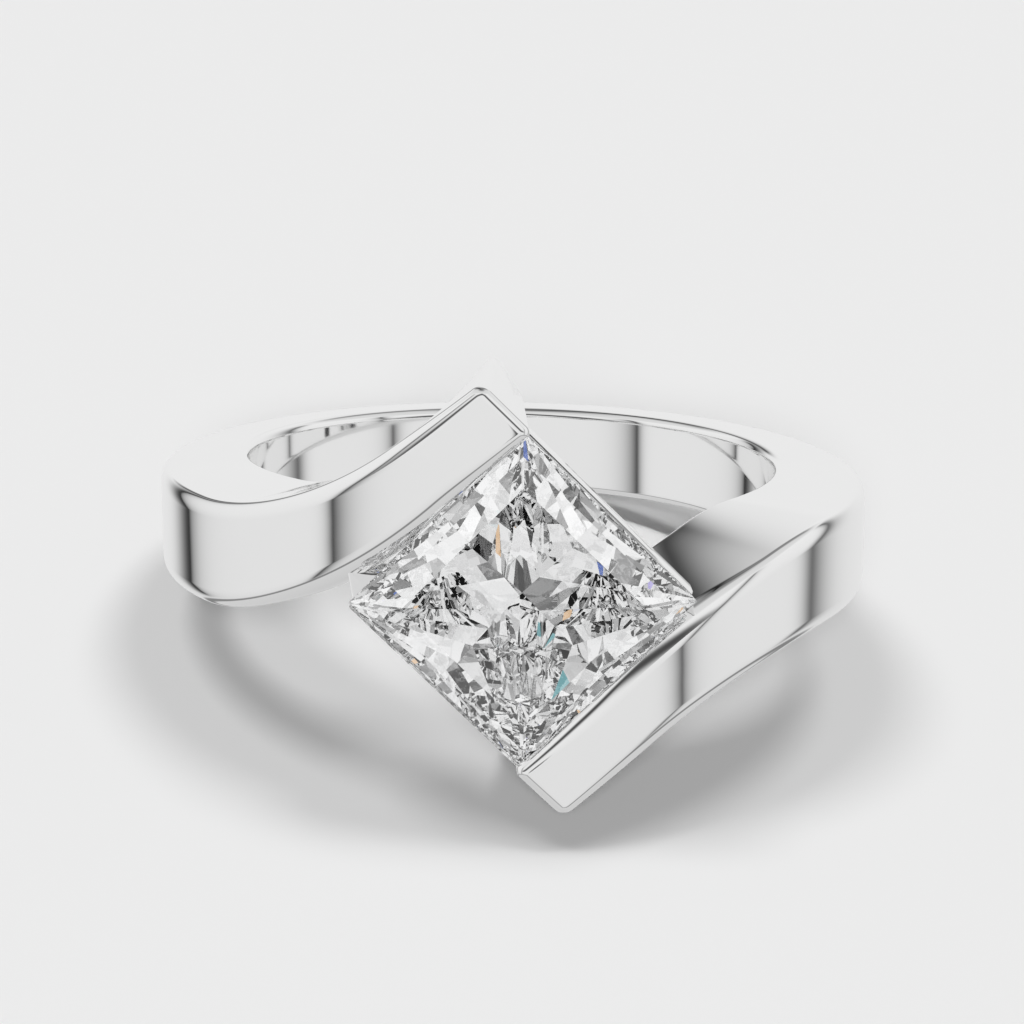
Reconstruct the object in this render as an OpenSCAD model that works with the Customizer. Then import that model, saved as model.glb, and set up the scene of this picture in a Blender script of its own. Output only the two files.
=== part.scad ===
// Bypass ring in silver. The band is one flat strip bent round the finger hole. Its two ends rise and
// dip past each other and grip a square stone, set on its corner, along two of the stone's edges.
// Millimetres. The ring lies on its side, as it comes to rest on a table, with the stone facing -Y.

/* [Band] */
// Inside diameter of the finger hole
finger_d = 16.5; // [16:0.1:17]
// Width of the strip at the back of the finger
strip_w_back = 2.85; // [2.7:0.05:3]
// Width of the strip at the sides of the finger
strip_w_side = 3.1; // [2.9:0.1:3.3]
// Width of the strip at its two ends
strip_w_tip = 1.95; // [1.8:0.05:2.1]
// Thickness of the wall at the back
wall_back = 1.5; // [1.4:0.05:1.6]
// Thickness of the wall at the stone
wall_head = 5.15; // [5:0.05:5.3]
// How sharply the wall thickens towards the stone
wall_power = 2.1; // [2:0.05:2.2]
// Radius of the rounded edges of the strip
edge_r = 0.18; // [0.15:0.01:0.22]

/* [Arms] */
// Angle from the stone at which each arm starts to bend away, degrees
bend_start = 49.5; // [48:0.5:51]
// Height that the strip has lost or gained where the bend starts
bend_drop = 0.33; // [0.28:0.01:0.38]
// Radius of the bend, measured along the strip
bend_r = 13.2; // [12.8:0.1:13.6]
// Slope of the arms beside the stone, degrees
arm_rise = 39; // [38:0.5:40]
// Angle from the stone's middle to the end of each arm, degrees
tip_angle = 1.8; // [1.4:0.1:2.2]
// Turn of the end face from square, degrees
tip_skew = 6; // [4:0.5:8]
// Radius of the rounded corner of each end, on the side away from the stone
tip_corner_r = 0.35; // [0.25:0.05:0.45]
// How far the inner faces of the arms are eased back from the finger
arm_ease = 0.02; // [0.01:0.01:0.04]

/* [Stone] */
// Side of the square stone
stone_side = 6.7; // [6.6:0.05:6.8]
// Distance from the axis of the finger hole to the stone's girdle
girdle_dist = 12.95; // [12.85:0.05:13.05]
// Thickness of the girdle
girdle_h = 0.16; // [0.12:0.02:0.2]
// Height of the crown above the girdle
crown_h = 0.7; // [0.6:0.05:0.8]
// Depth of the pavilion below the girdle
pavilion_h = 3.6; // [3.4:0.05:3.8]
// Width of the table as a share of the stone's side
table_share = 0.7; // [0.66:0.01:0.74]
// Gap between the stone and the metal
stone_gap = 0.04; // [0.03:0.01:0.06]

/* [Gallery rails] */
// Width of each rail, square to the stone's edge
rail_w = 0.55; // [0.45:0.05:0.65]
// Depth of each rail
rail_h = 0.75; // [0.65:0.05:0.85]
// Distance from the stone's girdle back to the front of each rail
rail_drop = 0.15; // [0.1:0.01:0.2]
// Width of the foot on which a rail stands on an arm
foot_w = 0.75; // [0.65:0.05:0.85]

/* [Rest] */
// Lift of the head as the ring lies on its side, degrees
rest_pitch = 13.57; // [13.4:0.01:13.7]
// Lean to the side as the ring lies on its side, degrees
rest_roll = -5.67; // [-5.8:0.01:-5.5]

/* [Hidden] */

finger_r = finger_d / 2;
// The strip's middle line is drawn on a sheet that is rolled round this radius.
sheet_r = 13;
lean = atan2(bend_drop, PI * sheet_r - bend_start * PI / 180 * sheet_r);
bend_u = bend_start * PI / 180 * sheet_r;
bend_end_u = bend_u - bend_r * (sin(arm_rise) - sin(lean));
bend_end_z = -bend_drop - bend_r * (cos(lean) - cos(arm_rise));
tip_u = tip_angle * PI / 180 * sheet_r;
shank_len = norm([PI * sheet_r - bend_u, bend_drop]);
bend_len = bend_r * (arm_rise - lean) * PI / 180;
arm_len = (bend_end_u - tip_u) / cos(arm_rise);
strip_len = shank_len + bend_len + arm_len;

// Extra width of the bevel on the side that faces the stone: angle from the stone, width.
BEVEL = [[-40, 0.08], [0, 0.08], [10, 0.25], [22, 0.31], [36, 0.1], [52, 0], [200, 0]];

shank_steps = 22;
bend_steps = 14;
arm_steps = 5;
tip_turns = [20, 38, 54, 67, 78];
corner_steps = 3;

function smooth(t) = let (c = min(max(t, 0), 1)) c * c * (3 - 2 * c);
function blend_rows(rows, x, i = 0) =
    x <= rows[i + 1][0] || i == len(rows) - 2
        ? rows[i][1] + (rows[i + 1][1] - rows[i][1]) * smooth((x - rows[i][0]) / (rows[i + 1][0] - rows[i][0]))
        : blend_rows(rows, x, i + 1);

// Outer radius of the ring at an angle from the stone.
function outer_r(angle) = finger_r + wall_back + (wall_head - wall_back) * pow((1 + cos(angle)) / 2, wall_power);

// The strip's middle line, from the back (0) to an end: place round the sheet, height, slope.
function line_at(s) =
    s < shank_len ? [PI * sheet_r - s * cos(lean), -s * sin(lean), lean]
    : s < shank_len + bend_len
        ? let (slope = lean + (s - shank_len) / bend_r * 180 / PI)
          [bend_u - bend_r * (sin(slope) - sin(lean)), -bend_drop - bend_r * (cos(lean) - cos(slope)), slope]
        : let (run = s - shank_len - bend_len)
          [bend_end_u - run * cos(arm_rise), bend_end_z - run * sin(arm_rise), arm_rise];

function half_width(s) =
    s < shank_len
        ? (strip_w_back + (strip_w_side - strip_w_back) * smooth(s / shank_len)) / 2
        : (strip_w_side + (strip_w_tip - strip_w_side) * smooth((s - shank_len) / (bend_len + arm_len))) / 2;

function skew(s) = tip_skew * smooth((s - shank_len - bend_len) / arm_len);

// How far a rounding of radius r has drawn in where the end is this close.
function rounding(r, to_end) = to_end < r ? r - sqrt(max(r * r - (r - to_end) * (r - to_end), 0)) : 0;

// A point of the right half of the strip: place along it, distance across it, radius or drop from outside.
function spot(s, across, outside, depth) =
    let (line = line_at(s),
         turn = line[2] + skew(s),
         angle = (line[0] - across * sin(turn)) / sheet_r * 180 / PI,
         r = outside ? outer_r(angle) - depth : finger_r + depth)
    [r * sin(angle), -r * cos(angle), line[1] + across * cos(turn)];

function half_turn(p) = [-p[0], p[1], -p[2]];

// Corners of the section, each with its side across the strip and in or out.
CORNERS = [[1, 1], [-1, 1], [-1, -1], [1, -1]];
// The loft's inner face stands this far inside the finger hole, which is then bored true.
bore_skin = 0.01;

function section(t) =
    let (s = abs(t), right = t >= 0, inset = rounding(edge_r, strip_len - s),
         corner = max(rounding(tip_corner_r, strip_len - s) - inset, 0))
    [for (c = [0:3], k = [0:corner_steps])
        let (side = CORNERS[c][0], outside = CORNERS[c][1] > 0,
             by_stone = right == (side > 0),
             bevel = by_stone ? blend_rows(BEVEL, line_at(s)[0] / sheet_r * 180 / PI) : 0,
             edge = half_width(s) + bevel - inset - (by_stone ? 0 : corner),
             round_r = (outside ? edge_r + bevel : edge_r) - inset,
             theta = c * 90 + k * 90 / corner_steps,
             across = side * (edge - round_r) + round_r * cos(theta),
             depth = inset + round_r - (outside ? 1 : -1) * round_r * sin(theta) - (outside ? 0 : bore_skin))
        right ? spot(s, across, outside, depth) : half_turn(spot(s, -across, outside, depth))];

// Places of the sections along the right half of the strip. The last few round the end off.
STATIONS = concat(
    [for (i = [0:shank_steps - 1]) shank_len * i / shank_steps],
    [for (i = [0:bend_steps - 1]) shank_len + bend_len * i / bend_steps],
    [for (i = [0:arm_steps]) shank_len + bend_len + (arm_len - tip_corner_r) * i / arm_steps],
    [for (turn = tip_turns) strip_len - tip_corner_r + tip_corner_r * sin(turn)]);

STRIP_ROWS = concat(
    [for (i = [len(STATIONS) - 1:-1:1]) section(-STATIONS[i])],
    [for (station = STATIONS) section(station)]);

module strip() {
    m = len(STRIP_ROWS[0]);
    last = len(STRIP_ROWS) - 1;
    sides = [for (i = [0:last - 1], j = [0:m - 1])
        let (a = i * m + j, b = i * m + (j + 1) % m)
        each [[a, b, b + m], [a, b + m, a + m]]];
    polyhedron([for (row = STRIP_ROWS) each row],
        concat(sides, [[for (j = [m - 1:-1:0]) j]], [[for (j = [0:m - 1]) last * m + j]]));
}

// The hole runs true through the band's full width at the back and sides. Past that height the arms
// alone are left, and they stand a little off the finger.
hole_h = 14;
ease_from = 2;
module finger_hole() {
    cylinder(h = hole_h, r = finger_r, center = true, $fn = 128);
    for (side = [-1, 1])
        translate([0, 0, side * (hole_h / 2 + ease_from) / 2])
            cylinder(h = hole_h / 2 - ease_from, r = finger_r + arm_ease, center = true, $fn = 128);
}

// The stone is cut in its own axes: x and y along its diagonals, z out through its table.
half_diag = stone_side / sqrt(2);
function corners(share, z) = [for (i = [0:3]) [half_diag * share * cos(90 * i), half_diag * share * sin(90 * i), z]];
function side_middles(share, z) =
    [for (i = [0:3]) stone_side / 2 * [share * cos(90 * i + 45), share * sin(90 * i + 45), 0] + [0, 0, z]];

// Where the facets of the crown meet on the middle of each side.
star_share = (1 + table_share) / 2;
star_z = girdle_h + crown_h * 0.56;
// Where the chevron facets of the pavilion meet there: share of the half side, share of the depth.
CHEVRONS = [[0.86, 0.30], [0.68, 0.56], [0.42, 0.79]];

STONE_POINTS = concat(
    corners(1, girdle_h), corners(1, 0), corners(table_share, girdle_h + crown_h),
    side_middles(star_share, star_z),
    [for (row = CHEVRONS) each side_middles(row[0], -row[1] * pavilion_h)],
    [[0, 0, -pavilion_h]]);

module cut_stone() {
    // First point of each ring of four.
    upper = 0;
    lower = 4;
    table = 8;
    star = 12;
    chevron = 16;
    last_row = len(CHEVRONS) - 1;
    culet = chevron + 4 * len(CHEVRONS);
    polyhedron(STONE_POINTS, concat(
        [[for (i = [3:-1:0]) table + i]],
        [for (i = [0:3]) let (n = (i + 1) % 4, p = (i + 3) % 4) each [
            [table + i, table + n, star + i],
            [upper + i, star + p, table + i], [upper + i, table + i, star + i],
            [upper + i, star + i, upper + n],
            [upper + i, upper + n, lower + n, lower + i],
            [lower + i, lower + n, chevron + i],
            [lower + i, chevron + 4 * last_row + i, culet, chevron + 4 * last_row + p]]],
        [for (i = [0:3], r = [0:last_row - 1]) let (n = (i + 1) % 4) each [
            [lower + i, chevron + 4 * r + i, chevron + 4 * (r + 1) + i],
            [lower + n, chevron + 4 * (r + 1) + i, chevron + 4 * r + i]]]));
}

module place_stone() {
    translate([0, -girdle_dist, 0]) rotate([90, 0, 0]) translate([0, 0, -girdle_h / 2]) children();
}

// A plain bar lies behind each of the stone's two free edges. It starts in the end of one arm. At its
// other end it stands on the other arm with a foot that widens towards that arm.
rail_proud = 0.03;
rail_start = 0.35;
rail_short = 0.17;
foot_inset = 0.12;
foot_flare = 0.22;
foot_plate = 0.05;
// Each plate of the foot: place across the arm, front and back measured from the girdle.
foot_top = [0.05, 0.2, 1.9];
foot_base = [-0.85, 1, 2.4];
module foot_slab(plate, extra) {
    translate([half_diag - foot_inset - foot_w - extra, plate[0], -plate[2]])
        cube([foot_w + 2 * extra, foot_plate, plate[2] - plate[1]]);
}
module gallery_rails() {
    place_stone() for (turn = [0, 180]) rotate([0, 0, turn]) {
        rotate([0, 0, 45])
            translate([stone_side / 2 + rail_proud - rail_w, rail_short - stone_side / 2, -rail_drop - rail_h])
                cube([rail_w, stone_side + rail_start - rail_short, rail_h]);
        hull() {
            foot_slab(foot_top, 0);
            foot_slab(foot_base, foot_flare);
        }
    }
}

module stone_room() {
    place_stone()
        translate([0, 0, girdle_h / 2])
            scale(1 + 2 * stone_gap / stone_side)
                translate([0, 0, -girdle_h / 2]) cut_stone();
}

// The ring lies on the low arm's end and the back of the band, with its lowest point at z = 0
// under the middle of its outline.
function pitched(p) =
    [p[0], p[1] * cos(rest_pitch) + p[2] * sin(rest_pitch), p[2] * cos(rest_pitch) - p[1] * sin(rest_pitch)];
function rolled(p) =
    [p[0] * cos(rest_roll) + p[2] * sin(rest_roll), p[1], p[2] * cos(rest_roll) - p[0] * sin(rest_roll)];
function on_finger(p) = [p[0], -girdle_dist + girdle_h / 2 - p[2], p[1]];
RESTED = [for (p = concat([for (row = STRIP_ROWS) each row], [for (q = STONE_POINTS) on_finger(q)])) rolled(pitched(p))];
least = [for (k = [0:2]) min([for (p = RESTED) p[k]])];
most = [for (k = [0:2]) max([for (p = RESTED) p[k]])];

module at_rest() {
    translate([-(least[0] + most[0]) / 2, -(least[1] + most[1]) / 2, -least[2]])
        rotate([0, rest_roll, 0]) rotate([-rest_pitch, 0, 0]) children();
}

module band() {
    color("gainsboro") at_rest() difference() {
        union() {
            strip();
            gallery_rails();
        }
        finger_hole();
        stone_room();
    }
}

module diamond() {
    color("white") at_rest() place_stone() cut_stone();
}

band();
diamond();
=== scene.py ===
from math import atan2, cos, degrees, pi, radians, sin, sqrt, tan

import bmesh
import bpy
import numpy as np
from mathutils import Matrix, Vector


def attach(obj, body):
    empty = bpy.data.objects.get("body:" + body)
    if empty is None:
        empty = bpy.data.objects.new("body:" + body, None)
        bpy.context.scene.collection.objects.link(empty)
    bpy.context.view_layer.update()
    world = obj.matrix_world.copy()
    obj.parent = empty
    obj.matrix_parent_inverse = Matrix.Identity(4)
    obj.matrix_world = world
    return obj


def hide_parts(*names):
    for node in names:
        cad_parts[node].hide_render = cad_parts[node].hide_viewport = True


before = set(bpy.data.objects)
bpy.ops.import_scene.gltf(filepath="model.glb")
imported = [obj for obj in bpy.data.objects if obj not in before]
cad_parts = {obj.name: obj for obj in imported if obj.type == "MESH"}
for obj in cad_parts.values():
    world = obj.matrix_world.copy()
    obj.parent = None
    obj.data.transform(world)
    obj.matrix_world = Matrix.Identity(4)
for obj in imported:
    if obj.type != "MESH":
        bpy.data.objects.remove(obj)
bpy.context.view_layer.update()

# DIAMOND. A square stone with a table, a crown and rows of chevrons below, ground and polished flat facet by
# flat facet. It is clear and bends light strongly. It is set on its corner, across the finger. Sizes in
# millimetres, in the stone's own axes, with the middle of its girdle at the origin.
mm = 0.001
stone_side, girdle_h, crown_h, pavilion_h, table_share = 6.7, 0.16, 0.7, 3.6, 0.7
half_diag = stone_side / sqrt(2)
crown_top, pavilion_foot = girdle_h / 2 + crown_h, -girdle_h / 2 - pavilion_h
# One quarter's points on the line of a corner: share of the way out to the corner, and height.
corner_line = ((1, girdle_h / 2), (1, -girdle_h / 2), (table_share, crown_top),
               (0.87, girdle_h / 2 + 0.52 * crown_h), (0, pavilion_foot))
# Its points on the middle of a side, told in the same way: the crown's row, then the chevrons downwards.
side_line = ((0.85, girdle_h / 2 + 0.56 * crown_h),) + tuple(
    (share, -girdle_h / 2 - depth * pavilion_h)
    for share, depth in ((0.9, 0.235), (0.76, 0.46), (0.58, 0.65), (0.4, 0.79), (0.2, 0.9)))

# Clear, with the faintest cool cloud in places.
clear = bpy.data.materials.new("cut_diamond")
clear.use_nodes = True
nt = clear.node_tree
gem = nt.nodes["Principled BSDF"]
gem.inputs["IOR"].default_value = 2.417
gem.inputs["Roughness"].default_value = 0
gem.inputs["Transmission Weight"].default_value = 1
gem.inputs["Specular IOR Level"].default_value = 0.1
coord = nt.nodes.new("ShaderNodeTexCoord")
water = nt.nodes.new("ShaderNodeTexNoise")
water.inputs["Scale"].default_value = 300
nt.links.new(coord.outputs["Object"], water.inputs["Vector"])
tone = nt.nodes.new("ShaderNodeValToRGB")
tone.color_ramp.elements[0].color = (0.985, 0.99, 0.995, 1)
tone.color_ramp.elements[1].color = (1, 1, 1, 1)
nt.links.new(water.outputs["Fac"], tone.inputs["Fac"])
nt.links.new(tone.outputs["Color"], gem.inputs["Base Color"])


def math_node(tree, operation, *values):
    """A Math node in a tree. Each value is a number or another node's output."""
    node = tree.nodes.new("ShaderNodeMath")
    node.operation = operation
    for socket, value in zip(node.inputs, values):
        if hasattr(value, "links"):
            tree.links.new(value, socket)
        else:
            socket.default_value = value
    return node.outputs[0]


def cutting_tree():
    """Geometry Nodes that turn a quarter's points round the stone's axis and lay flat facets between them."""
    tree = bpy.data.node_groups.new("cut_stone", "GeometryNodeTree")
    tree.interface.new_socket("Geometry", in_out="INPUT", socket_type="NodeSocketGeometry")
    tree.interface.new_socket("Quarters", in_out="INPUT", socket_type="NodeSocketInt")
    tree.interface.new_socket("Geometry", in_out="OUTPUT", socket_type="NodeSocketGeometry")
    give = tree.nodes.new("NodeGroupInput")
    spots = tree.nodes.new("GeometryNodePoints")
    tree.links.new(give.outputs["Quarters"], spots.inputs["Count"])
    number = tree.nodes.new("GeometryNodeInputIndex").outputs[0]
    share = math_node(tree, "DIVIDE", number, give.outputs["Quarters"])
    turned = tree.nodes.new("ShaderNodeCombineXYZ")
    tree.links.new(math_node(tree, "MULTIPLY", share, 2 * pi), turned.inputs["Z"])
    quarters = tree.nodes.new("GeometryNodeInstanceOnPoints")
    tree.links.new(spots.outputs[0], quarters.inputs["Points"])
    tree.links.new(give.outputs["Geometry"], quarters.inputs["Instance"])
    tree.links.new(turned.outputs[0], quarters.inputs["Rotation"])
    real = tree.nodes.new("GeometryNodeRealizeInstances")
    tree.links.new(quarters.outputs[0], real.inputs[0])
    facets = tree.nodes.new("GeometryNodeConvexHull")
    tree.links.new(real.outputs[0], facets.inputs[0])
    finish = tree.nodes.new("GeometryNodeSetMaterial")
    finish.inputs["Material"].default_value = clear
    tree.links.new(facets.outputs[0], finish.inputs["Geometry"])
    tree.links.new(finish.outputs[0], tree.nodes.new("NodeGroupOutput").inputs[0])
    return tree


def settled(obj, name):
    """The object's evaluated shape as a plain mesh object. The maker's object is taken away."""
    mesh = bpy.data.meshes.new_from_object(obj.evaluated_get(bpy.context.evaluated_depsgraph_get()))
    bpy.data.objects.remove(obj)
    out = bpy.data.objects.new(name, mesh)
    bpy.context.scene.collection.objects.link(out)
    return out


# The middle of a side lies an eighth of a turn from the corner.
eighth = pi / 4
quarter = bpy.data.meshes.new("stone_quarter")
quarter.from_pydata(
    [(half_diag * share, 0, z) for share, z in corner_line]
    + [(stone_side / 2 * share * cos(eighth), stone_side / 2 * share * sin(eighth), z)
       for share, z in side_line],
    [], [])
stone = bpy.data.objects.new("stone_quarter", quarter)
bpy.context.scene.collection.objects.link(stone)
cutting = stone.modifiers.new("cutting", "NODES")
cutting.node_group = cutting_tree()
for item in cutting.node_group.interface.items_tree:
    if item.name == "Quarters":
        cutting[item.identifier] = 4
bpy.context.view_layer.update()
stone = settled(stone, "diamond_faceted")

# The ring lies on its side: the head lifted, and leaning to the left, on one arm's end and the band's back.
# It is made round the axis of the finger hole, in millimetres, and laid there.
hole_centre = Vector((0.0475, 2.2862, 3.7587)) * mm
head_lifted, leaning_left = radians(13.57), radians(5.67)
lie = Matrix.Rotation(-leaning_left, 4, "Y") @ Matrix.Rotation(-head_lifted, 4, "X")
laid = Matrix.Translation(hole_centre) @ lie @ Matrix.Scale(mm, 4)
# The stone faces away from that axis, with its girdle this far out.
girdle_dist = 12.95
to_stone = Matrix.Translation((0, -girdle_dist, 0)) @ Matrix.Rotation(pi / 2, 4, "X")
stone.data.transform(laid @ to_stone)
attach(stone, "root")
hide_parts("diamond")

# BAND. One strip of silver, bent round the finger and swept up on one side of the stone and down on the
# other. It is rolled and filed as a straight bar with rounded edges and then bent, so it is made that way
# here: a bar in mesh code, bent by Geometry Nodes. Sizes in millimetres, round the axis of the finger hole.
finger_r = 16.5 / 2
# The strip's width at the back, where the bend starts and at the tips. Its wall at the back and at the stone,
# and the power that says how close to the stone the wall swells.
w_back, w_side, w_tip = 2.85, 3.1, 1.95
wall_back, wall_head, wall_power = 1.5, 5.15, 2.1
# Every edge is rounded. On the outer wall the rounding reaches farther across than it goes deep.
edge_r, edge_reach = 0.27, 0.45
# The strip's middle line, on a sheet rolled round the finger: it drops a little from the back to where the
# bend starts, and the bend brings it to the slope of the arm, which ends at the tip.
sheet_r = 13.0
bend_start, bend_drop, bend_r, arm_rise = radians(49.5), 0.33, 13.2, radians(39)
tip_angle, tip_skew, tip_corner_r = radians(1.8), radians(6), 0.35

lean = atan2(bend_drop, (pi - bend_start) * sheet_r)
shank_len = sqrt(((pi - bend_start) * sheet_r) ** 2 + bend_drop**2)
bend_len = bend_r * (arm_rise - lean)
bend_end = bend_start * sheet_r - bend_r * (sin(arm_rise) - sin(lean))
arm_len = (bend_end - tip_angle * sheet_r) / cos(arm_rise)
strip_len = shank_len + bend_len + arm_len

# How much wider the edge on the stone's side is filed: angle from the stone in degrees, extra width.
filed_edge = [(-40, 0), (0, 0), (10, 0.16), (22, 0.22), (36, 0.02), (52, 0), (200, 0)]


def ease(t):
    """A smooth step from 0 to 1."""
    t = min(max(t, 0), 1)
    return t * t * (3 - 2 * t)


def filed(angle):
    """The extra width at an angle from the stone, read from the table and eased between its rows."""
    for (a0, v0), (a1, v1) in zip(filed_edge, filed_edge[1:]):
        if angle <= a1:
            return v0 + (v1 - v0) * ease((angle - a0) / (a1 - a0))
    return 0


def middle_angle(s):
    """The middle line's angle from the stone, at a length s along the strip from the back."""
    bent = min(max(s - shank_len, 0), bend_len)
    slope = lean + bent / bend_r
    u = pi * sheet_r - min(s, shank_len) * cos(lean) - bend_r * (sin(slope) - sin(lean))
    return (u - max(s - shank_len - bend_len, 0) * cos(slope)) / sheet_r


def drawn_in(r, to_end):
    """How far a round corner of radius r draws a side in, at a distance from the end."""
    return r - sqrt(max(r * r - (r - to_end) ** 2, 0)) if to_end < r else 0


def half_width(s):
    """Half of the strip's width, at a length s along it from the back."""
    if s < shank_len:
        return (w_back + (w_side - w_back) * ease(s / shank_len)) / 2
    return (w_side + (w_tip - w_side) * ease((s - shank_len) / (bend_len + arm_len))) / 2


# Points across a flat run between two rounded edges, close together by the edges.
flat_steps = (0.012, 0.05, 0.16, 0.33, 0.5, 0.67, 0.84, 0.95, 0.988)
corner_steps = 8


def bar_section(place):
    """One section of the straight bar: across, offset from the wall, share of the wall outwards."""
    s, right = abs(place), place >= 0
    inset = drawn_in(edge_r, strip_len - s)
    corner = max(drawn_in(tip_corner_r, strip_len - s) - inset, 0)
    rim = []
    for c, (side, out) in enumerate(((1, 1), (-1, 1), (-1, 0), (1, 0))):
        by_stone = right == (side > 0)
        bevel = filed(degrees(middle_angle(s))) if by_stone else 0
        edge = half_width(s) + bevel - inset - (0 if by_stone else corner)
        deep = (edge_r + bevel if out else edge_r) - inset
        reach = edge_r + (edge_reach - edge_r) * ease((strip_len - s) / arm_len)
        wide = (reach + bevel if out else edge_r) - inset
        for k in range(corner_steps + 1):
            turn = (c + k / corner_steps) * pi / 2
            drop = inset + deep - (1 if out else -1) * deep * sin(turn)
            rim.append((side * (edge - wide) + wide * cos(turn), -drop if out else drop, out))
    full, n = [], corner_steps + 1
    for c in range(4):
        full += rim[c * n:(c + 1) * n]
        a, b = np.array(rim[c * n + n - 1], float), np.array(rim[(c + 1) * n % (4 * n)], float)
        full += [tuple(a + (b - a) * t) for t in flat_steps]
    return full


# Where the sections stand on one half of the strip: along the shank, the bend and the arm, and round the
# tip's corner at these turns in degrees.
shank_steps, bend_steps, arm_steps = 110, 60, 30
tip_turns = (9, 18, 27, 36, 45, 54, 62, 70, 77, 83)
half = [shank_len * i / shank_steps for i in range(shank_steps)]
half += [shank_len + bend_len * i / bend_steps for i in range(bend_steps)]
half += [shank_len + bend_len + (arm_len - tip_corner_r) * i / arm_steps for i in range(arm_steps + 1)]
half += [strip_len - tip_corner_r + tip_corner_r * sin(radians(turn)) for turn in tip_turns]
places = [-s for s in reversed(half[1:])] + half
sections = [bar_section(p) for p in places]
around = len(sections[0])
bar = bpy.data.meshes.new("bar")
bar.from_pydata(
    [(p, across, off) for p, sec in zip(places, sections) for across, off, share in sec],
    [],
    [(i + j, i + around + j, i + around + (j + 1) % around, i + (j + 1) % around)
     for i in range(0, (len(places) - 1) * around, around) for j in range(around)]
    + [tuple(range(around)), tuple(len(places) * around - 1 - j for j in range(around))],
)
bar.attributes.new("wall_share", "FLOAT", "POINT").data.foreach_set(
    "value", [share for sec in sections for across, off, share in sec])
bar_object = bpy.data.objects.new("bar", bar)
bpy.context.scene.collection.objects.link(bar_object)

# Silver: a near white metal, polished to a mirror, with a trace of cloudiness from the last buffing.
silver = bpy.data.materials.new("polished_silver")
silver.use_nodes = True
nt = silver.node_tree
metal = nt.nodes["Principled BSDF"]
metal.inputs["Metallic"].default_value = 1
coord = nt.nodes.new("ShaderNodeTexCoord")
cloud = nt.nodes.new("ShaderNodeTexNoise")
cloud.inputs["Scale"].default_value = 420
cloud.inputs["Detail"].default_value = 3
nt.links.new(coord.outputs["Object"], cloud.inputs["Vector"])
tone = nt.nodes.new("ShaderNodeValToRGB")
tone.color_ramp.elements[0].color = (0.925, 0.925, 0.925, 1)
tone.color_ramp.elements[1].color = (0.95, 0.95, 0.948, 1)
nt.links.new(cloud.outputs["Fac"], tone.inputs["Fac"])
nt.links.new(tone.outputs["Color"], metal.inputs["Base Color"])
buffing = nt.nodes.new("ShaderNodeMapRange")
buffing.inputs["To Min"].default_value = 0.03
buffing.inputs["To Max"].default_value = 0.06
nt.links.new(cloud.outputs["Fac"], buffing.inputs["Value"])
nt.links.new(buffing.outputs["Result"], metal.inputs["Roughness"])


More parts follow.
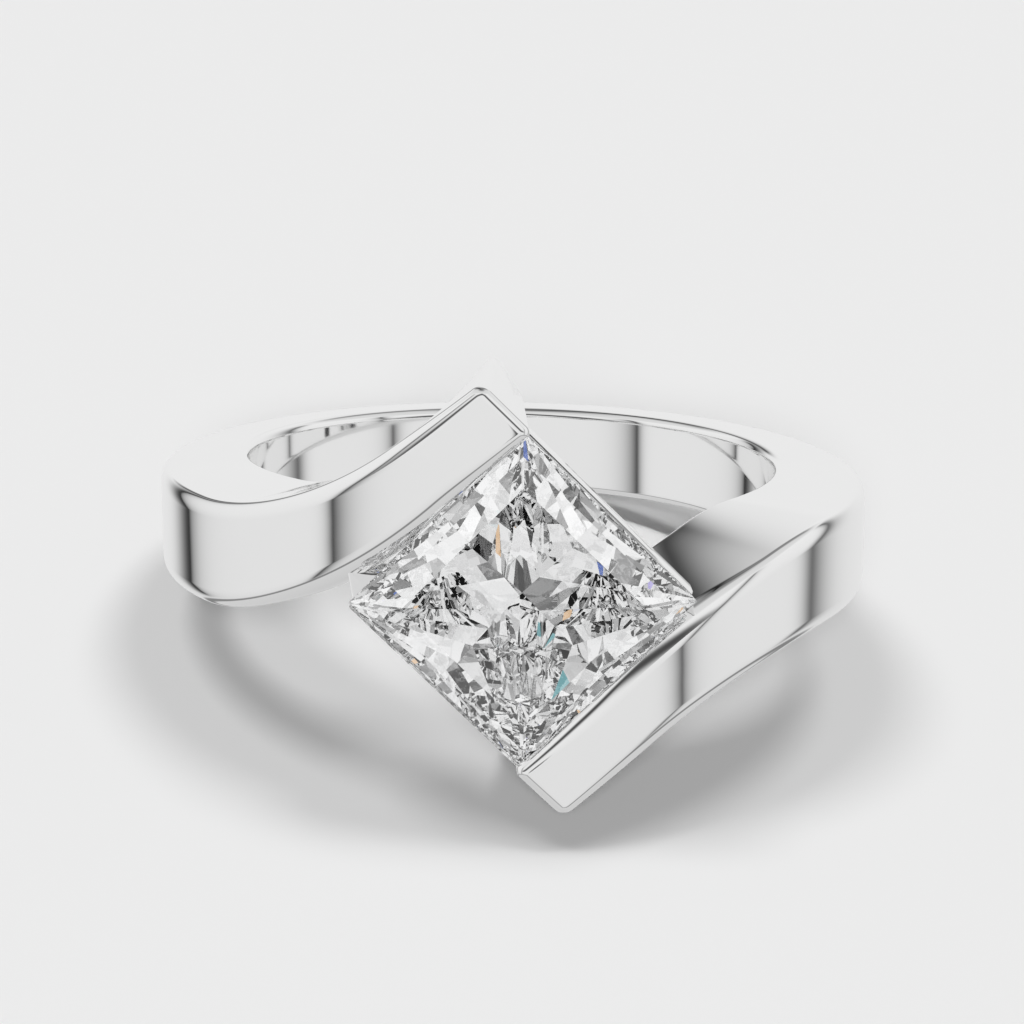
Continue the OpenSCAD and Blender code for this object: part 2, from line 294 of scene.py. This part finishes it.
def bending_tree():
    """Geometry Nodes that bend the straight bar: along it x, across it y, off the wall z."""
    tree = bpy.data.node_groups.new("bend_round_finger", "GeometryNodeTree")
    face = tree.interface
    face.new_socket("Geometry", in_out="INPUT", socket_type="NodeSocketGeometry")
    for name in ("Finger radius", "Wall at back", "Wall at stone", "Wall power", "Sheet radius", "Lean",
                 "Shank length", "Bend radius", "Bend length", "Arm length", "Tip skew"):
        face.new_socket(name, in_out="INPUT", socket_type="NodeSocketFloat")
    face.new_socket("Geometry", in_out="OUTPUT", socket_type="NodeSocketGeometry")
    give = tree.nodes.new("NodeGroupInput")
    size = {s.name: s for s in give.outputs}

    def sum_of(operation, *values):
        return math_node(tree, operation, *values)

    def plus(a, b):
        return sum_of("ADD", a, b)

    def less(a, b):
        return sum_of("SUBTRACT", a, b)

    def times(a, b):
        return sum_of("MULTIPLY", a, b)

    def sine(a):
        return sum_of("SINE", a)

    def cosine(a):
        return sum_of("COSINE", a)

    spot = tree.nodes.new("ShaderNodeSeparateXYZ")
    tree.links.new(tree.nodes.new("GeometryNodeInputPosition").outputs[0], spot.inputs[0])
    along, across, off = spot.outputs
    side = less(1, times(2, sum_of("LESS_THAN", along, 0)))
    s = sum_of("ABSOLUTE", along)
    across = times(across, side)
    past = less(s, size["Shank length"])
    bent = sum_of("MINIMUM", sum_of("MAXIMUM", past, 0), size["Bend length"])
    arm = sum_of("MAXIMUM", less(past, size["Bend length"]), 0)
    shank = sum_of("MINIMUM", s, size["Shank length"])
    slope = plus(size["Lean"], sum_of("DIVIDE", bent, size["Bend radius"]))
    line = less(less(less(times(pi, size["Sheet radius"]), times(shank, cosine(size["Lean"]))),
                     times(size["Bend radius"], less(sine(slope), sine(size["Lean"])))),
                times(arm, cosine(slope)))
    height = less(less(times(-1, times(shank, sine(size["Lean"]))),
                       times(size["Bend radius"], less(cosine(size["Lean"]), cosine(slope)))),
                  times(arm, sine(slope)))
    skewed = tree.nodes.new("ShaderNodeMapRange")
    skewed.interpolation_type = "SMOOTHSTEP"
    tree.links.new(sum_of("DIVIDE", arm, size["Arm length"]), skewed.inputs["Value"])
    turn = plus(slope, times(size["Tip skew"], skewed.outputs["Result"]))
    angle = sum_of("DIVIDE", less(line, times(across, sine(turn))), size["Sheet radius"])
    swell = sum_of("POWER", times(0.5, plus(1, cosine(angle))), size["Wall power"])
    wall = plus(size["Wall at back"], times(less(size["Wall at stone"], size["Wall at back"]), swell))
    share = tree.nodes.new("GeometryNodeInputNamedAttribute")
    share.data_type = "FLOAT"
    share.inputs["Name"].default_value = "wall_share"
    radius = plus(plus(size["Finger radius"], times(wall, share.outputs["Attribute"])), off)
    put = tree.nodes.new("ShaderNodeCombineXYZ")
    tree.links.new(times(side, times(radius, sine(angle))), put.inputs["X"])
    tree.links.new(times(-1, times(radius, cosine(angle))), put.inputs["Y"])
    tree.links.new(times(side, plus(height, times(across, cosine(turn)))), put.inputs["Z"])
    move = tree.nodes.new("GeometryNodeSetPosition")
    tree.links.new(give.outputs["Geometry"], move.inputs["Geometry"])
    tree.links.new(put.outputs[0], move.inputs["Position"])
    real = tree.nodes.new("GeometryNodeRealizeInstances")
    tree.links.new(move.outputs[0], real.inputs[0])
    finish = tree.nodes.new("GeometryNodeSetMaterial")
    finish.inputs["Material"].default_value = silver
    tree.links.new(real.outputs[0], finish.inputs["Geometry"])
    tree.links.new(finish.outputs[0], tree.nodes.new("NodeGroupOutput").inputs[0])
    return tree


bend = bar_object.modifiers.new("bend", "NODES")
bend.node_group = bending_tree()
bend_sizes = {
    "Finger radius": finger_r, "Wall at back": wall_back, "Wall at stone": wall_head,
    "Wall power": wall_power, "Sheet radius": sheet_r, "Lean": lean, "Shank length": shank_len,
    "Bend radius": bend_r, "Bend length": bend_len, "Arm length": arm_len, "Tip skew": tip_skew}
for item in bend.node_group.interface.items_tree:
    if item.in_out == "INPUT" and item.name in bend_sizes:
        bend[item.identifier] = float(bend_sizes[item.name])
bpy.context.view_layer.update()
band = settled(bar_object, "band_polished")

# The seat is cut to the stone, a hair larger all round. The stone's two free edges lie over plain rails that
# join one arm to the other.
seat_gap = 0.04


def seat_cutter():
    """The stone a hair larger, about the middle of its girdle."""
    bm = bmesh.new()
    bm.from_mesh(stone.data)
    bm.transform(to_stone @ Matrix.Scale(1 + 2 * seat_gap / stone_side, 4) @ (laid @ to_stone).inverted())
    return bm


def break_edges(bm, wear):
    """Takes the sharpness off every edge."""
    bmesh.ops.bevel(bm, geom=bm.edges[:], offset=wear, segments=3, profile=0.5, affect="EDGES")


def block(low, high, wear, turn):
    """A plain bar with its edges just broken, given by two corners in the stone's axes and then turned."""
    bm = bmesh.new()
    bmesh.ops.create_cube(bm, size=1)
    low, high = Vector(low), Vector(high)
    bm.transform(to_stone @ turn @ Matrix.Translation((low + high) / 2) @ Matrix.Diagonal((*(high - low), 1)))
    break_edges(bm, wear)
    return bm


# A rail's width and height, how far it lies below the middle of the girdle, how far it stands out from the
# stone's side, how far it runs past one corner, how far it stops short of the other, and its edges' wear.
rail_w, rail_h, rail_drop, rail_proud, rail_past, rail_short = 0.62, 0.78, 0.12, 0.1, 0.35, 0.17
rail_wear = 0.08
# A foot's width, how far it stands in from the stone's corner, how far it spreads at its base, and its wear.
foot_w, foot_inset, foot_flare, foot_wear = 0.75, 0.12, 0.22, 0.05
# Faces that turn by less than this, in radians, are one flat face.
flat_turn = 0.02
# A foot's top and its base: height, front and back.
foot_top, foot_base = (0.1, 0.2, 1.9), (-0.85, 1.0, 2.4)


def foot(turn):
    """A rail's foot, spreading where it stands on the arm."""
    bm = bmesh.new()
    for (height, front, back), extra in ((foot_top, 0), (foot_base, foot_flare)):
        for x in (half_diag - foot_inset - foot_w - extra, half_diag - foot_inset + extra):
            for z in (-front, -back):
                bm.verts.new((x, height, z))
    bmesh.ops.convex_hull(bm, input=bm.verts)
    bmesh.ops.dissolve_limit(bm, angle_limit=flat_turn, verts=bm.verts[:], edges=bm.edges[:])
    break_edges(bm, foot_wear)
    bm.transform(to_stone @ turn)
    if bm.calc_volume(signed=True) < 0:
        bmesh.ops.reverse_faces(bm, faces=bm.faces)
    return bm


def worked(name, bm, how):
    """Adds one closed shape to the band, or cuts it out."""
    mesh = bpy.data.meshes.new(name)
    bm.to_mesh(mesh)
    bm.free()
    tool = bpy.data.objects.new(name, mesh)
    bpy.context.scene.collection.objects.link(tool)
    cut = band.modifiers.new(name, "BOOLEAN")
    cut.solver, cut.operation, cut.object = "EXACT", how, tool
    return tool


tools = []
rail_low = (stone_side / 2 + rail_proud - rail_w, rail_short - stone_side / 2, -rail_drop - rail_h)
rail_high = (stone_side / 2 + rail_proud, stone_side / 2 + rail_past, -rail_drop)
for number, half_turn in enumerate((0, pi)):
    turn = Matrix.Rotation(half_turn, 4, "Z")
    rail = block(rail_low, rail_high, rail_wear, turn @ Matrix.Rotation(eighth, 4, "Z"))
    tools.append(worked(f"rail_{number}", rail, "UNION"))
    tools.append(worked(f"foot_{number}", foot(turn), "UNION"))
tools.append(worked("seat", seat_cutter(), "DIFFERENCE"))
bpy.context.view_layer.update()
band = settled(band, "band_polished")
for tool in tools:
    bpy.data.objects.remove(tool)

# The band is laid in its place. Edges that turn by more than the crease angle stay crisp.
crease = radians(24)
band.data.transform(laid)
band.data.attributes.remove(band.data.attributes["wall_share"])
band.data.materials.clear()
band.data.materials.append(silver)
for polygon in band.data.polygons:
    polygon.use_smooth = True
band.data.set_sharp_from_angle(angle=crease)
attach(band, "root")
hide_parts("band")

# FLOOR. A plain pale sheet, wide enough to fill the view. The ring and the stone don't mirror it.
floor_side = 1.2
floor_corners = [(x * floor_side / 2, y * floor_side / 2, 0) for x, y in ((-1, -1), (1, -1), (1, 1), (-1, 1))]
floor_mesh = bpy.data.meshes.new("floor")
floor_mesh.from_pydata(floor_corners, [], [(0, 1, 2, 3)])
floor = bpy.data.objects.new("floor", floor_mesh)
bpy.context.scene.collection.objects.link(floor)
paper = bpy.data.materials.new("pale_paper")
paper.use_nodes = True
matt = paper.node_tree.nodes["Principled BSDF"]
matt.inputs["Base Color"].default_value = (0.831, 0.831, 0.831, 1)
matt.inputs["Roughness"].default_value = 0.9
matt.inputs["Specular IOR Level"].default_value = 0.1
floor_mesh.materials.append(paper)
floor.visible_glossy = False
floor.visible_transmission = False

# LIGHT. A white studio all round the ring, told by direction in the ring's own axes: the azimuth from the
# stone towards the right, and the height. Dark upright gaps stand between its pale screens, and the metal
# mirrors them as soft stripes.
scene = bpy.context.scene
scene.view_settings.view_transform = "Standard"
world = bpy.data.worlds.new("studio")
scene.world = world
world.use_nodes = True
nt = world.node_tree
sky = nt.nodes["Background"]


def maths(operation, *values):
    """A Math node in the studio's own tree."""
    return math_node(nt, operation, *values)


def fading(value):
    """1 where the value is 0, and nothing where it is large."""
    return maths("EXPONENT", maths("MULTIPLY", value, -1))


def from_middle(value, middle, half):
    """How far a value lies from the middle of something, counted in halves of its width."""
    return maths("DIVIDE", maths("ABSOLUTE", maths("SUBTRACT", value, middle)), half)


def dimmed(colour, left):
    """A colour with this share of its light left."""
    node = nt.nodes.new("ShaderNodeVectorMath")
    node.operation = "SCALE"
    nt.links.new(colour, node.inputs[0])
    nt.links.new(left, node.inputs["Scale"])
    return node.outputs[0]


def swapped(mark, colour, other):
    """The other colour where the mark is 1, and the first one where it is 0."""
    node = nt.nodes.new("ShaderNodeMix")
    node.data_type = "RGBA"
    nt.links.new(mark, node.inputs["Factor"])
    nt.links.new(colour, node.inputs["A"])
    if hasattr(other, "links"):
        nt.links.new(other, node.inputs["B"])
    else:
        node.inputs["B"].default_value = (*other, 1)
    return node.outputs["Result"]


def greys(place, table):
    """The grey that a table gives at a place from 0 to 1. Its rows are place and shade."""
    node = nt.nodes.new("ShaderNodeValToRGB")
    stops = node.color_ramp.elements
    stops.remove(stops[1])
    for start, shade in table:
        stop = stops.new(start) if start else stops[0]
        stop.position = start
        stop.color = (shade, shade, shade, 1)
    nt.links.new(place, node.inputs["Fac"])
    return node


look = nt.nodes.new("ShaderNodeTexCoord")
into_ring = nt.nodes.new("ShaderNodeMapping")
into_ring.inputs["Rotation"].default_value = lie.to_3x3().inverted().to_euler()
nt.links.new(look.outputs["Generated"], into_ring.inputs["Vector"])
axes = nt.nodes.new("ShaderNodeSeparateXYZ")
nt.links.new(into_ring.outputs[0], axes.inputs[0])
to_front = maths("MULTIPLY", axes.outputs[1], -1)
azimuth = maths("MULTIPLY", maths("ARCTAN2", axes.outputs[0], to_front), degrees(1))
height = maths("MULTIPLY", maths("ARCSINE", axes.outputs[2]), degrees(1))

# Brightness of the screens by height: dimmer towards the floor, brightest at the top of the walls, a step
# down to the roof, and dark in the roof's middle.
screen_shades = ((-90, 0.6), (-40, 0.66), (-22, 0.77), (-13, 0.8), (0, 0.84), (34, 0.88), (42, 0.74),
                 (66, 0.7), (80, 0.3), (90, 0.2))
screens = greys(maths("DIVIDE", maths("ADD", height, 90), 180),
                [((at + 90) / 180, shade) for at, shade in screen_shades])

# The height at which a gap stands at its middle. Above it and below it a gap leans. Its two ends fade over
# this many degrees.
waist, end_fade = -9, 8


def gap_between(middle, lean_up, lean_down, lit, left, right, low, high):
    """Share of light left by one gap. Its sides fade over left and right, each (width, power)."""
    over = maths("MAXIMUM", maths("SUBTRACT", height, waist), 0)
    under = maths("MINIMUM", maths("SUBTRACT", height, waist), 0)
    leaning = maths("ADD", maths("MULTIPLY", over, lean_up), maths("MULTIPLY", under, lean_down))
    off = maths("WRAP", maths("SUBTRACT", azimuth, maths("ADD", leaning, middle)), 180, -180)
    sides = []
    for sign, (width, power) in ((-1, left), (1, right)):
        away = maths("MAXIMUM", maths("MULTIPLY", off, sign), 0)
        sides.append(maths("POWER", maths("DIVIDE", away, width), power))
    shade = fading(maths("ADD", sides[0], sides[1]))
    ends = []
    for end, fade in ((low, -end_fade), (high, end_fade)):
        edge = nt.nodes.new("ShaderNodeMapRange")
        edge.interpolation_type = "SMOOTHSTEP"
        nt.links.new(height, edge.inputs["Value"])
        edge.inputs["From Min"].default_value, edge.inputs["From Max"].default_value = end + fade, end
        ends.append(edge.outputs[0])
    seen = maths("MULTIPLY", ends[0], ends[1])
    return maths("SUBTRACT", 1, maths("MULTIPLY", maths("MULTIPLY", shade, seen), 1 - lit))


# Middle at the waist, lean above and below it, light left in the middle, fade to each side, lowest, highest.
gaps = (
    (-133, -0.35, -0.35, 0.05, (10.5, 1.9), (5.5, 0.9), -22, 25),
    (-60.8, 0, 0.2, 0.09, (2.4, 1.2), (6, 1.1), -26, 30),
    (113.5, 0.3, 0.3, 0.2, (5.5, 1.6), (10, 1.2), -22, 30),
    (55, 0.3, 0, 0.16, (3.3, 1.2), (3, 0.9), -26, 30),
    (-162, 0, 0, 0.07, (10.5, 1.5), (8, 1.6), 20, 85),
    (180, 0, 0, 0.35, (50, 6), (50, 6), 48, 78),
)
light = screens.outputs["Color"]
for gap in gaps:
    light = dimmed(light, gap_between(*gap))

# A dark arch joins the two front gaps over the top, and the stone's table mirrors one small dark spot. A
# narrow dark strip runs all round below, and the lower rim of the band mirrors it as a thin line.

# The arch: half its span, the height of its top, how far it falls to its ends and by what curve, half its
# thickness, and how sharply its sides and its ends fade.
arch_half, arch_top, arch_fall, arch_curve, arch_thick, arch_fade, arch_end_fade = 60, 27, 34, 1.2, 11, 3, 9
reach = from_middle(azimuth, 0, arch_half)
arch_height = maths("SUBTRACT", arch_top, maths("MULTIPLY", maths("POWER", reach, arch_curve), arch_fall))
off_arch = maths("POWER", from_middle(height, arch_height, arch_thick), arch_fade)
arch = fading(maths("ADD", off_arch, maths("POWER", reach, arch_end_fade)))
arch = maths("MULTIPLY", arch, maths("GREATER_THAN", height, 0))
# The spot and the strip: the middle, half the size each way, and how sharply they fade.
spot_az, spot_el, spot_half_w, spot_half_h, spot_fade = 1.4, -12.3, 3, 3.4, 6
spot_across = maths("POWER", from_middle(azimuth, spot_az, spot_half_w), spot_fade)
spot = fading(maths("ADD", spot_across, maths("POWER", from_middle(height, spot_el, spot_half_h), spot_fade)))
strip_el, strip_half_h, strip_fade = -33, 3, 4
strip = fading(maths("POWER", from_middle(height, strip_el, strip_half_h), strip_fade))
# How dark each of them is.
for dark, share in ((arch, 0.92), (spot, 0.96), (strip, 0.66)):
    light = dimmed(light, maths("SUBTRACT", 1, maths("MULTIPLY", dark, share)))

# The stone gathers light from all over the room and breaks it up, so it is given the room in panels: most
# of them white, some grey, a few dark, and here and there a small coloured one for its sparks.
panels = nt.nodes.new("ShaderNodeTexVoronoi")
panels.inputs["Scale"].default_value = 4.2
nt.links.new(into_ring.outputs[0], panels.inputs["Vector"])
pick = nt.nodes.new("ShaderNodeSeparateColor")
nt.links.new(panels.outputs["Color"], pick.inputs[0])
panel_shades = ((0, 0.94), (0.41, 0.78), (0.6, 0.55), (0.73, 0.3), (0.84, 0.08), (0.92, 0))
shades = greys(pick.outputs[0], panel_shades)
shades.color_ramp.interpolation = "CONSTANT"

# Round cards stood among the panels, for the star in the middle of the stone and its coloured sparks:
# azimuth, height, how far each reaches round its middle, and colour.
white, grey = (1.05, 1.05, 1.05), (0.26, 0.26, 0.26)
blue, teal, orange, violet = (0.05, 0.13, 0.5), (0.12, 0.42, 0.46), (0.9, 0.62, 0.38), (0.5, 0.44, 0.85)
cards = (
    (-46, 22, 7, grey), (-33, 41, 6, grey), (77, -2, 10, grey), (-54, -31, 8, grey), (34, -13, 4, grey),
    (92, 41, 12, grey), (-82, 16, 12, grey), (5, 61, 5, grey), (-137, 29, 12, grey), (64, -16, 4, grey),
    (43, 21, 9, white), (47, -23, 6, white), (-40, -24, 6, white), (-52, -19, 4, white), (-172, 3, 7, white),
    (85, 43, 3, blue), (-54, -8, 2, blue), (8, -16, 1.5, blue), (61, 25, 2, teal), (55, 34, 1.5, teal),
    (-14, -27, 2, orange), (45, 29, 1.5, orange), (20, -30, 2.5, violet),
)
room = shades.outputs["Color"]
for card_az, card_height, reach_round, colour in cards:
    turn, lift = radians(card_az), radians(card_height)
    near = nt.nodes.new("ShaderNodeVectorMath")
    near.operation = "DOT_PRODUCT"
    nt.links.new(into_ring.outputs[0], near.inputs[0])
    near.inputs[1].default_value = (sin(turn) * cos(lift), -cos(turn) * cos(lift), sin(lift))
    inside = maths("GREATER_THAN", near.outputs["Value"], cos(radians(reach_round)))
    room = swapped(inside, room, colour)

# The metal mirrors the screens, the stone takes the room, and the floor takes a little light from all round.
all_round = 0.07
path = nt.nodes.new("ShaderNodeLightPath")
on_floor = maths("GREATER_THAN", path.outputs["Diffuse Depth"], 0.5)
light = swapped(on_floor, light, (all_round, all_round, all_round))
light = swapped(path.outputs["Is Transmission Ray"], light, room)
nt.links.new(light, sky.inputs["Color"])
# Light is followed this often from facet to facet.
bounces = 16
scene.cycles.max_bounces = scene.cycles.glossy_bounces = scene.cycles.transmission_bounces = bounces

# Two soft lamps overhead and one in front throw the shadows: where each stands, azimuth and height above the
# floor, how wide it looks, and its share of the floor's light.
lamps = (("over_left", -90, 68, 20, 0.27), ("over_right", 122, 73, 20, 0.28), ("front", -6, 26, 18, 0.38))
for name, lamp_az, lamp_el, wide, share in lamps:
    lamp = bpy.data.objects.new(name, bpy.data.lights.new(name, "SUN"))
    lamp.data.angle = radians(wide)
    lamp.data.energy = pi * share / sin(radians(lamp_el))
    toward = Vector((sin(radians(lamp_az)), -cos(radians(lamp_az)), tan(radians(lamp_el))))
    lamp.rotation_euler = toward.to_track_quat("Z", "Y").to_euler()
    lamp.visible_glossy = lamp.visible_transmission = False
    scene.collection.objects.link(lamp)

# A small lamp high above the finger hole lights the floor seen past the stone: the middle of its pool on the
# floor, how wide the pool is, its share of the floor's light, how far off and how wide the lamp is, and the
# way from the pool to the lamp.
pool_middle, pool_r, pool_share = Vector((4.9, 7.8, 0)) * mm, 3.6 * mm, 0.43
pool_away, pool_lamp_r, toward = 45 * mm, 2.5 * mm, Vector((-0.1, -0.25, 1)).normalized()
pool = bpy.data.objects.new("past_stone", bpy.data.lights.new("past_stone", "SPOT"))
pool.data.shadow_soft_size = pool_lamp_r
pool.data.spot_size = 2 * atan2(pool_r, pool_away)
pool.data.spot_blend = 0.4
pool.data.energy = (2 * pi * pool_away) ** 2 * pool_share / toward.z
pool.location = pool_middle + toward * pool_away
pool.rotation_euler = toward.to_track_quat("Z", "Y").to_euler()
pool.visible_camera = pool.visible_glossy = pool.visible_transmission = False
scene.collection.objects.link(pool)

# CAMERA. It looks at the ring from in front and a little above: azimuth and height in the ring's own axes,
# and distance in millimetres. The picture's side, the lens and the shift are in the picture's pixels.
seen_az, seen_el, seen_from = radians(-1.37), radians(12.337), 90
side_px, lens_px, shift_px = 1024, 2838.7, (0.42, -11.73)
sensor_w = 36
back = Vector((sin(seen_az) * cos(seen_el), -cos(seen_az) * cos(seen_el), sin(seen_el)))
right = Vector((cos(seen_az), sin(seen_az), 0))
up = back.cross(right)
aim = (lie.to_3x3() @ Matrix((right, up, back)).transposed()).to_4x4()
camera = bpy.data.objects.new("camera", bpy.data.cameras.new("camera"))
scene.collection.objects.link(camera)
camera.matrix_world = Matrix.Translation(hole_centre + lie.to_3x3() @ back * seen_from * mm) @ aim
camera.data.sensor_width = sensor_w
camera.data.lens = lens_px / side_px * sensor_w
camera.data.shift_x, camera.data.shift_y = (shift / side_px for shift in shift_px)
camera.data.clip_start = 1 * mm
scene.camera = camera
